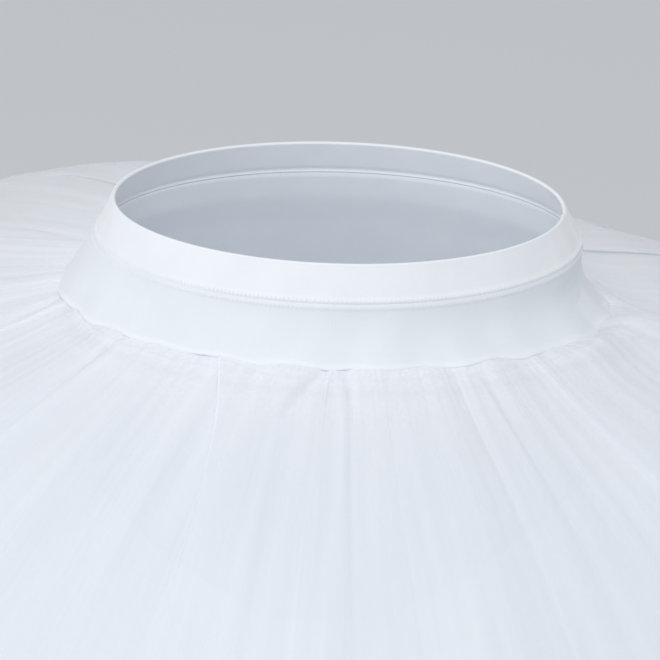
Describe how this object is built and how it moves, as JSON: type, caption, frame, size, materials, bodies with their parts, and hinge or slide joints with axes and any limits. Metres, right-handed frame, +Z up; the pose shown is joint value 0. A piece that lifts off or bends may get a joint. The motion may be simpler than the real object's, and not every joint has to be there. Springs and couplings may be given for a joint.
{
  "type": "ballet tutu",
  "caption": "White ballet tutu with a folded waistband, a flared basque, briefs and gathered layers of soft net that run out and droop as a bell.",
  "frame": {"origin": "centre of the waist opening, in the plane of the waistband's top edge", "axes": "+Z up out of the waist opening, +X to the wearer's left, -Y towards the front"},
  "size_m": [0.9451, 0.8294, 0.2704],
  "materials": {
    "band_knit": "smooth firm stretch knit, matt with a faint sheen",
    "basque_knit": "smooth stretch knit, matt with a faint sheen",
    "briefs_knit": "smooth stretch knit, matt",
    "net": "soft fine nylon net, sheer and matt"
  },
  "bodies": {
    "root": {"waistband": "band_knit", "basque": "basque_knit", "briefs": "briefs_knit", "net_1_top": "net", "net_2": "net", "net_3": "net", "net_4": "net"}
  },
  "joints": []
}
